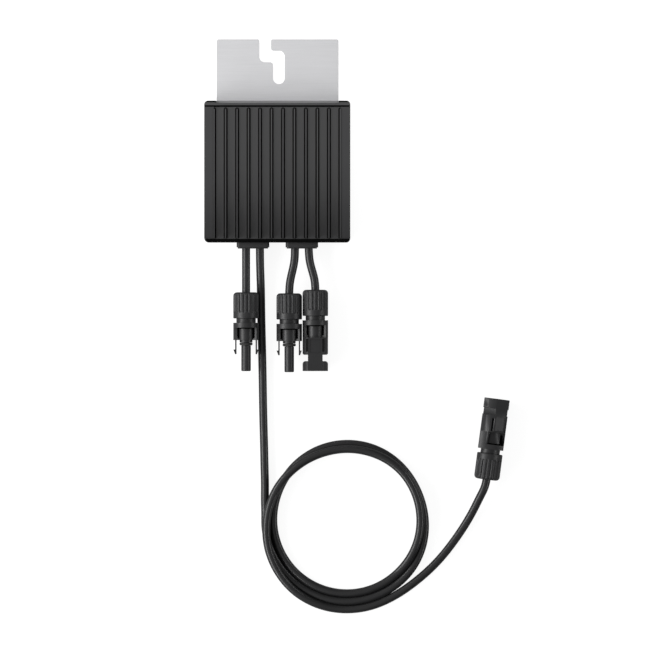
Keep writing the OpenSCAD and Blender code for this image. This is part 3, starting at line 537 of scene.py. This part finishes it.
def noise(tree, vector, scale, detail=2.0, roughness=0.5):
    """Noise between 0 and 1 on the given coordinates."""
    inputs = {"Vector": vector, "Scale": scale, "Detail": detail, "Roughness": roughness}
    return add(tree, "TexNoise", inputs).outputs["Fac"]


def stretched(tree, vector, scale):
    """Coordinates scaled by a factor for each axis."""
    return add(tree, "Mapping", {"Vector": vector, "Scale": scale}).outputs["Vector"]


def spread(tree, value, low, high):
    """Maps a 0 to 1 value onto the range from low to high."""
    return add(tree, "MapRange", {"Value": value, "To Min": low, "To Max": high}).outputs["Result"]


def grain_effect():
    """Fine grain of a coat or a moulded skin, and slow patches: noise at two scales on the object."""
    group, given, out = effect("skin_grain", {"Grain": 900.0, "Patch": 40.0}, ["Height", "Patches"])
    place = add(group, "TexCoord").outputs["Object"]
    group.links.new(noise(group, place, given["Grain"], detail=3.0, roughness=0.6), out["Height"])
    group.links.new(noise(group, place, given["Patch"]), out["Patches"])
    return group


def brushed_effect():
    """Lines left by brushing along X: noise on coordinates squeezed along X, and wide bands of the same."""
    group, given, out = effect("brushed_lines", {"Lines": 60.0}, ["Lines", "Bands"])
    place = add(group, "TexCoord").outputs["Object"]
    fine = stretched(group, place, (0.6, 40.0, 40.0))
    wide = stretched(group, place, (0.4, 6.0, 6.0))
    group.links.new(noise(group, fine, given["Lines"], detail=3.0, roughness=0.7), out["Lines"])
    group.links.new(noise(group, wide, given["Lines"]), out["Bands"])
    return group


def sheath_effect():
    """Faint lines along an extruded sheath: noise on the UV, long along the cable and fine round it."""
    group, given, out = effect("extruded_lines", {"Lines": 14.0}, ["Height", "Streaks"])
    place = add(group, "TexCoord").outputs["UV"]
    long_lines = stretched(group, place, (0.02, 3.0, 1.0))
    grain = stretched(group, place, (2.0, 36.0, 1.0))
    group.links.new(noise(group, grain, 1.6), out["Height"])
    group.links.new(noise(group, long_lines, given["Lines"]), out["Streaks"])
    return group


GRAIN = grain_effect()
BRUSHED = brushed_effect()
SHEATH = sheath_effect()


def material(name, **sockets):
    """Material with a Principled BSDF whose plain numbers and colours are set on its own sockets."""
    made = bpy.data.materials.new(name)
    made.use_nodes = True
    shader = made.node_tree.nodes["Principled BSDF"]
    for label, value in sockets.items():
        shader.inputs[label.replace("_", " ")].default_value = value
    return made, made.node_tree, shader.inputs


def shades(tree, value, dark, light):
    """Colour between two greys or tints, by a 0 to 1 value."""
    mixed = add(tree, "Mix", {"Factor": value}, data_type="RGBA")
    mixed.inputs["A"].default_value = (*dark, 1)
    mixed.inputs["B"].default_value = (*light, 1)
    return mixed.outputs["Result"]


def surface(tree, shader, tint, roughness, relief):
    """Links a colour, a roughness and a relief, given as inputs of a Bump node, to a material's shader."""
    tree.links.new(tint, shader["Base Color"])
    tree.links.new(roughness, shader["Roughness"])
    tree.links.new(add(tree, "Bump", relief).outputs["Normal"], shader["Normal"])


def grained(name, dark, light, rough, grain, depth, patch=40.0, **sockets):
    """Coated or moulded finish: two close tints in slow patches, uneven roughness and a fine raised grain."""
    made, tree, shader = material(name, **sockets)
    skin = add(tree, "Group", {"Grain": grain, "Patch": patch}, node_tree=GRAIN).outputs
    relief = {"Height": skin["Height"], "Strength": depth, "Distance": GRAIN_HEIGHT}
    tint = shades(tree, skin["Patches"], dark, light)
    surface(tree, shader, tint, spread(tree, skin["Patches"], *rough), relief)
    return made


def brushed(name, dark, light, rough):
    """Bare metal brushed along X: lines in colour, roughness and height."""
    made, tree, shader = material(name, Metallic=1.0)
    lines = add(tree, "Group", node_tree=BRUSHED).outputs
    relief = {"Height": lines["Lines"], "Strength": BRUSHED_DEPTH, "Distance": LINE_HEIGHT}
    tint = shades(tree, lines["Lines"], dark, light)
    surface(tree, shader, tint, spread(tree, lines["Bands"], *rough), relief)
    return made


def extruded(name, dark, light, rough, **sockets):
    """Extruded sheath with faint lengthwise lines in its colour, roughness and height."""
    made, tree, shader = material(name, **sockets)
    lines = add(tree, "Group", node_tree=SHEATH).outputs
    relief = {"Height": lines["Height"], "Strength": SHEATH_DEPTH, "Distance": GRAIN_HEIGHT}
    tint = shades(tree, lines["Streaks"], dark, light)
    surface(tree, shader, tint, spread(tree, lines["Streaks"], *rough), relief)
    return made


# Coats and mouldings by record slot: dark and light tint, range of roughness, grains in a metre, depth of the
# grain and, where they aren't the usual ones, patches in a metre
COATS = {
    "housing_black": ((0.029, 0.029, 0.03), (0.037, 0.037, 0.038), (0.36, 0.46), 1500, 0.12),
    "cover_black": ((0.018, 0.018, 0.019), (0.024, 0.024, 0.025), (0.42, 0.52), 1500, 0.15),
    "gland_black": ((0.01, 0.01, 0.0105), (0.015, 0.015, 0.016), (0.48, 0.6), 1800, 0.2),
    "connector_black": ((0.011, 0.011, 0.012), (0.017, 0.017, 0.018), (0.38, 0.5), 2400, 0.18),
    "gasket_rubber": ((0.012, 0.012, 0.012), (0.02, 0.02, 0.02), (0.6, 0.75), 1200, 0.2),
    "board_green": ((0.012, 0.09, 0.035), (0.02, 0.13, 0.05), (0.3, 0.4), 800, 0.05, 300.0),
    "chip_black": ((0.02, 0.02, 0.021), (0.03, 0.03, 0.031), (0.5, 0.6), 2200, 0.2),
    "pad_grey": ((0.26, 0.3, 0.36), (0.33, 0.37, 0.43), (0.7, 0.8), 1500, 0.2),
    "ferrite": ((0.045, 0.045, 0.05), (0.07, 0.07, 0.075), (0.55, 0.7), 2500, 0.3),
    "film_yellow": ((0.55, 0.36, 0.07), (0.62, 0.44, 0.1), (0.25, 0.35), 900, 0.05),
}
# Drawn and plated metals, with the same values
FINE_METALS = {
    "copper": ((0.5, 0.22, 0.09), (0.62, 0.3, 0.13), (0.25, 0.35), 1800, 0.3),
    "terminal_brass": ((0.55, 0.45, 0.22), (0.65, 0.55, 0.3), (0.3, 0.4), 900, 0.1),
    "contact_tin": ((0.62, 0.61, 0.58), (0.72, 0.71, 0.68), (0.22, 0.32), 1200, 0.1),
}
# Brushed metals: dark and light tint and range of roughness
BRUSHED_METALS = {
    "bare_aluminium": ((0.52, 0.52, 0.53), (0.6, 0.6, 0.61), (0.66, 0.74)),
    "steel": ((0.5, 0.5, 0.51), (0.62, 0.62, 0.63), (0.28, 0.38)),
}
FINISHES = {
    **{name: grained(name, *look) for name, look in COATS.items()},
    **{name: grained(name, *look, Metallic=1.0) for name, look in FINE_METALS.items()},
    **{name: brushed(name, *look) for name, look in BRUSHED_METALS.items()},
    "cable_black": extruded(
        "cable_black", (0.012, 0.012, 0.0125), (0.02, 0.02, 0.021), (0.28, 0.36), Specular_IOR_Level=0.45
    ),
}
# Painted shade: a flat deep black on steep walls, in grooves, under the lip and on the webs, darker coats on
# the casting's raised faces and rims that take light off them, and a darker grey on the sheet's top edge
# Flat deep black that stands in for the shade in recesses: painted shade
SHADE_BLACK = grained(
    "painted_shade_black", (0.002, 0.002, 0.002), (0.004, 0.004, 0.004), (0.65, 0.8), 1500, 0.2,
    Specular_IOR_Level=0.02,
)
# Darker coats on the raised tops and the rims, which take light off them: painted shade
RAISED_SHADE = grained("raised_painted_shade", (0.014, 0.014, 0.015), (0.02, 0.02, 0.021), (0.42, 0.52), 1500, 0.12)
RIM_SHADE = grained(
    "rim_painted_shade", (0.012, 0.012, 0.013), (0.018, 0.018, 0.019), (0.42, 0.52), 1500, 0.12,
    Specular_IOR_Level=0.36,
)
# Darker grey on the sheet's top edge beside the casting: painted shade
EDGE_SHADE = brushed("edge_painted_shade", (0.2, 0.2, 0.205), (0.32, 0.32, 0.325), (0.66, 0.74))


def finish_nodes():
    """Gives every part of the frame the finish that its record slot names."""
    for row in frame["record"]["subparts"]:
        part = frame["nodes"][row["node"]]
        part.data.materials.clear()
        part.data.materials.append(FINISHES[row["material_slot"]])


def put_on(piece, slot, finish=None):
    """Puts a piece on the body, with the finish of a record slot or one of its own."""
    piece.data.materials.clear()
    piece.data.materials.append(finish or FINISHES[slot])
    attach(piece, BODY)
    return piece


def take_place(piece, slot, *nodes):
    """Puts a piece on the body in place of the given nodes, with the finish of their record slot."""
    put_on(piece, slot)
    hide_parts(*nodes)
    return piece


def facings(piece):
    """Normal and middle of each of a piece's faces, the middles in millimetres."""
    faces = piece.data.polygons
    normal, centre = np.empty(3 * len(faces)), np.empty(3 * len(faces))
    faces.foreach_get("normal", normal)
    faces.foreach_get("center", centre)
    return normal.reshape(-1, 3), centre.reshape(-1, 3) / MM


def between(value, low, high):
    """Mask of the values from low to high, give or take a touch."""
    return (value > low - TOUCH) & (value < high + TOUCH)


def second_finish(piece, finish, where):
    """Adds a finish to a piece and puts it on the faces that a mask picks."""
    piece.data.materials.append(finish)
    index = np.empty(len(where), np.int32)
    piece.data.polygons.foreach_get("material_index", index)
    index[where] = len(piece.data.materials) - 1
    piece.data.polygons.foreach_set("material_index", index)
    piece.data.update()


def lip_foot():
    """Foot of the lip, which leans out as on a casting: a wedge carried across from rim to rim, in painted
    shade.
    """
    top = RIM_TOP - LIP_FOOT_BELOW
    back = LIP_Y + OVERLAP
    wedge = [(back, FIN_FLOOR), (back, top), (LIP_Y, top), (LIP_Y - LIP_FOOT, FIN_FLOOR)]
    return put_on(bar_across("lip_foot", wedge, RIM_X), "housing_black", SHADE_BLACK)


def rim_groove():
    """Cutter for the groove that parts the rims from the lip: a square channel across."""
    near, low, high = LIP_Y - LIP_FOOT, RIM_TOP - RIM_GROOVE, RIM_TOP + CUT_PAST
    channel = [(near, low), (LIP_Y, low), (LIP_Y, high), (near, high)]
    return bar_across("rim_groove", channel, HALF_W + CUT_PAST)


def nose_cut():
    """Cutter that rounds the casting's cable end: what a quarter circle at the fins' floor leaves outside."""
    turn = np.linspace(np.pi / 2, 0, 13)
    y = NOSE_R - HALF_H - NOSE_R * np.sin(turn)
    z = FIN_FLOOR - NOSE_R + NOSE_R * np.cos(turn)
    top, beyond = RIM_TOP + 2 * CUT_PAST, -HALF_H - CUT_PAST
    outside = [(beyond, z[0]), *zip(y, z), (y[-1], top), (beyond, top)]
    return bar_across("nose_cut", outside, HALF_W + CUT_PAST)


def dress_housing():
    """Casting with a rounded cable end and a groove at its lip, painted shade on its walls, ends, rounds and
    tops.
    """
    cutters = [rim_groove(), nose_cut()]
    casting = softened("heat_sink_housing", "finned_casting", CASTING_ROUND, cutters=cutters)
    take_place(casting, "housing_black", "heat_sink_housing")
    lip_foot()
    normal, centre = facings(casting)
    x, y, z = centre.T
    walls = (np.abs(normal[:, 2]) < STEEP) & (z > FIN_FLOOR + NEAR) & (np.abs(x) < FIN_FIELD)
    ends = (np.abs(normal[:, 1]) > END_ON) & (z > FIN_FLOOR - NOSE_R)
    in_groove = between(y, LIP_Y - LIP_FOOT, LIP_Y) & between(z, RIM_TOP - RIM_GROOVE, RIM_TOP)
    # Painted shade: flat black on the fin walls, on faces towards the ends, in the groove and on the narrow
    # rounds
    second_finish(casting, SHADE_BLACK, walls | ends | in_groove)
    casting.modifiers["round_edges"].material = len(casting.data.materials) - 1
    # Painted shade: darker coats on the raised tops, and a darker, less shiny one on the rims
    raised = (normal[:, 2] > LEVEL) & (z > RIM_TOP - NEAR)
    second_finish(casting, RAISED_SHADE, raised)
    second_finish(casting, RIM_SHADE, raised & (np.abs(x) > RIM_X))


def dress_shells():
    """Cover, bracket and glands with their edges broken, and screws with sockets for a key."""
    take_place(softened("back_cover", "rear_plate", COVER_ROUND), "cover_black", "back_cover")
    bracket = softened("mounting_bracket", "folded_bracket", BRACKET_ROUND)
    take_place(bracket, "bare_aluminium", "mounting_bracket")
    normal, centre = facings(bracket)
    # Painted shade: a darker grey on the bracket's top edge beside the casting
    second_finish(bracket, EDGE_SHADE, (normal[:, 2] > LEVEL) & (centre[:, 2] > FIN_FLOOR))
    for node, name in (("output_gland", "left_gland"), ("input_gland", "right_gland")):
        take_place(softened(node, name, GLAND_ROUND, segments=3), "gland_black", node)
    take_place(socket_screws("rear_screws", COVER_HEADS, *COVER_SCREW), "steel", "cover_screws")
    take_place(socket_screws("foot_screws", BRACKET_HEADS, *BRACKET_SCREW), "steel", "bracket_screws")


def mirrored_boxes(low, high, ways):
    """A box's two corners, mirrored in X and Y by each pair of signs."""
    pairs = [np.array([low, high], float) * (*way, 1) for way in ways]
    return [(pair.min(axis=0), pair.max(axis=0)) for pair in pairs]


def panel_grooves(prefix, place, at):
    """Cutter for the grooves that part a shell's front and back panels from its sides."""
    low = (PANEL_SIDE - GROOVE_W / 2, GROOVE_FLOOR, PANEL_FROM)
    high = (PANEL_SIDE + GROOVE_W / 2, NUT_R, PANEL_TO)
    all_corners = [(1, 1), (1, -1), (-1, 1), (-1, -1)]
    return boxes(prefix + "_grooves", mirrored_boxes(low, high, all_corners), place, at)


def undercut(prefix, place, at, columns=64):
    """Cutter for the groove between a flange and the barrel: a square profile carried round the axis."""
    near, far = BARREL_FROM - OVERLAP, BARREL_FROM + UNDERCUT_W
    outer = SIDE_WALL_R - OVERLAP
    profile = np.array([(UNDERCUT_R, near), (outer, near), (outer, far), (UNDERCUT_R, far)])
    radius = np.repeat(profile[:, :1], columns, axis=1)
    return closed_ring(prefix + "_undercut", radius, profile[:, 1:], place, at)


def window_corners(prefix, place, at):
    """Cutter for round corners of a shell's windows: what a quarter circle leaves, carried along Y."""
    turn = np.linspace(0, np.pi / 2, 8)
    beyond = SHELL_R + WINDOW_PAST
    points, faces = [], []
    for side in (-1, 1):
        for station, way, r in ((WINDOW_FROM, -1, WINDOW_NEAR_R), (WINDOW_TO, 1, WINDOW_FAR_R)):
            arc = np.stack([SHELL_R - r + r * np.cos(turn), station + way * (r - r * np.sin(turn))], axis=1)
            open_end = station - WINDOW_PAST * way
            profile = [*arc, (arc[-1, 0], open_end), (beyond, open_end), (beyond, arc[0, 1])]
            n, start = len(profile), len(points)
            ends = [list(range(start, start + n)), list(range(start + n, start + 2 * n))]
            faces += [*(grid_faces(2, n) + start).tolist(), *ends]
            points += [(side * x, y, s) for y in (-NUT_R, NUT_R) for x, s in profile]
    return new_piece(prefix + "_corners", place(np.array(points), at), faces)


def side_webs(prefix, place, at):
    """Webs between a connector's barrel and its side walls, which also bridge the undercut, in painted shade
    black.
    """
    start = BARREL_FROM - SINK
    web = (
        (BARREL_R - SINK, -MID_WEB / 2, start),
        (SIDE_WALL_R + 2 * SINK, MID_WEB / 2, BARREL_TO - END_WEB + SINK),
    )
    bridge = (
        (UNDERCUT_R - SINK, -MID_WEB / 2, start),
        (BARREL_R, MID_WEB / 2, BARREL_FROM + UNDERCUT_W + OVERLAP),
    )
    both_sides = [(1, 1), (-1, 1)]
    corners = mirrored_boxes(*web, both_sides) + mirrored_boxes(*bridge, both_sides)
    return put_on(boxes(prefix + "_webs", corners, place, at), "connector_black", SHADE_BLACK)


def in_undercut(body, place, at):
    """Mask of the faces of a connector's body that lie in its undercut, by their station along the axis."""
    start, ahead = place(np.array([(0.0, 0.0, 0.0), (0.0, 0.0, 1.0)]), at) / MM
    station = (facings(body)[1] - start) @ (ahead - start)
    return between(station, BARREL_FROM - OVERLAP, BARREL_FROM + UNDERCUT_W + OVERLAP)


def dress_connector(prefix, place, at):
    """A connector's pieces: a new cap nut, a body with rounded edges, webs, and its other parts as built."""
    nut = take_place(cap_nut(prefix + "_cap", place, at), "connector_black", prefix + "_nut")
    cuts = [undercut, panel_grooves, window_corners] if prefix.endswith("pin") else [undercut]
    cutters = [cut(prefix, place, at) for cut in cuts]
    body = softened(prefix + "_body", prefix + "_shell", CONNECTOR_ROUND, cutters=cutters)
    take_place(body, "connector_black", prefix + "_body")
    # Painted shade: flat black on the faces in the undercut below the flange
    second_finish(body, SHADE_BLACK, in_undercut(body, place, at))
    replaced = {prefix + "_nut", prefix + "_body"}
    own = [node for node in sorted(frame["nodes"]) if node.startswith(prefix + "_")]
    kept = [frame["nodes"][node] for node in own if node not in replaced]
    return [nut, body, side_webs(prefix, place, at), *kept]


def lay_cord(name, points, stands_for):
    """One lead: a sheath along a smooth path, put on the body in place of the given nodes."""
    path = smooth_path(points)
    piece = take_place(sheath(name, path), "cable_black", *stands_for)


def lay_cords():
    """The straight lead, the bent pair and the long lead with its loop, each with its connector."""
    long_route = [*OUTPUT_LEAD, *loop_points().tolist(), *OUTPUT_TAIL]
    stretches = ["output_long_cable_lead", "output_long_cable_coil", "output_long_cable_tail"]
    socket = dress_connector("output_socket", facing_down, OUTPUT_SOCKET_AT)
    lay_cord("output_short_lead", OUTPUT_SHORT, ["output_short_cable"])
    socket = dress_connector("input_socket", facing_down, INPUT_SOCKET_AT)
    lay_cord("input_left_lead", INPUT_LEFT, ["input_left_cable"])
    pin = dress_connector("input_pin", facing_down, INPUT_PIN_AT)
    lay_cord("input_right_lead", INPUT_RIGHT, ["input_right_cable"])
    pin = dress_connector("output_pin", facing_up, OUTPUT_PIN_AT)
    lay_cord("output_long_lead", long_route, stretches)


def set_camera():
    """Long lens above the middle of the picture, whose width falls on the part's middle level."""
    lens = bpy.data.cameras.new("camera")
    lens.lens = LENS
    lens.sensor_width = SENSOR
    lens.clip_end = VIEW_REACH
    camera = link_new("camera", lens)
    camera.location = (*VIEW_CENTRE, VIEW_PLANE + VIEW_WIDTH * LENS / SENSOR)
    bpy.context.scene.camera = camera


def mirrored_ray(tree, path):
    """1 for rays that reflect off a surface or pass through it, else 0."""
    kinds = {0: path["Is Glossy Ray"], 1: path["Is Transmission Ray"]}
    return add(tree, "Math", kinds, operation="MAXIMUM").outputs[0]


def set_world():
    """White in view, and for all other rays a room that is bright on one side."""
    world = bpy.data.worlds.new("studio")
    world.use_nodes = True
    bpy.context.scene.world = world
    tree = world.node_tree
    path = add(tree, "LightPath").outputs
    way = add(tree, "TexCoord").outputs["Generated"]
    towards = add(tree, "VectorMath", {0: way, 1: BRIGHT_SIDE}, operation="DOT_PRODUCT").outputs["Value"]
    room = add(tree, "MapRange", {
        "Value": towards, "From Min": DARK_UP_TO, "From Max": BRIGHT_FROM,
        "To Min": ROOM_DARK, "To Max": ROOM_BRIGHT,
    }, interpolation_type="SMOOTHSTEP").outputs["Result"]
    strength = add(tree, "Mix", {"Factor": path["Is Camera Ray"], "A": room, "B": 1.0})
    ground = tree.nodes["Background"]
    ground.inputs["Color"].default_value = (1, 1, 1, 1)
    tree.links.new(strength.outputs["Result"], ground.inputs["Strength"])


def set_floor():
    """Pale floor under the part: lit by the lamps, with enough white of its own to read as white paper."""
    around = [(-1, -1), (1, -1), (1, 1), (-1, 1)]
    corners = [(x * FLOOR_HALF, y * FLOOR_HALF, FLOOR_LEVEL) for x, y in around]
    floor = new_piece("floor", corners, [(0, 1, 2, 3)])
    made = bpy.data.materials.new("floor_paper")
    made.use_nodes = True
    tree = made.node_tree
    tree.nodes.remove(tree.nodes["Principled BSDF"])
    path = add(tree, "LightPath").outputs
    seen = spread(tree, path["Is Camera Ray"], 0.0, FLOOR_SEEN)
    mirrored = spread(tree, mirrored_ray(tree, path), 0.0, FLOOR_MIRRORED)
    white = add(tree, "Math", {0: seen, 1: mirrored}, operation="ADD").outputs[0]
    paper = add(tree, "BsdfDiffuse", {"Color": (FLOOR_PAPER, FLOOR_PAPER, FLOOR_PAPER, 1)})
    glow = add(tree, "Emission", {"Color": (1, 1, 1, 1), "Strength": white})
    both = add(tree, "AddShader", {0: paper.outputs[0], 1: glow.outputs[0]})
    tree.links.new(both.outputs[0], tree.nodes["Material Output"].inputs["Surface"])
    floor.data.materials.append(made)


def softbox(name, at, towards, size, watts):
    """Rectangular lamp at a point, turned to face another point, in metres."""
    lamp = bpy.data.lights.new(name, "AREA")
    lamp.shape = "RECTANGLE"
    lamp.size, lamp.size_y = size
    lamp.energy = watts
    stand = link_new(name, lamp)
    stand.location = at
    back = np.array(at, float) - np.array(towards, float)
    pitch = math.acos(back[2] / np.linalg.norm(back))
    stand.rotation_euler = (pitch, 0, math.atan2(back[1], back[0]) + math.pi / 2)
    stand.visible_camera = False


def set_lamps():
    """A panel close above the housing, a long strip on the left and a weak one on the right."""
    for lamp in LAMPS:
        softbox(*lamp)


set_camera()
finish_nodes()
lay_cords()
dress_housing()
dress_shells()
set_world()
set_floor()
set_lamps()
bpy.context.scene.view_settings.view_transform = "Standard"
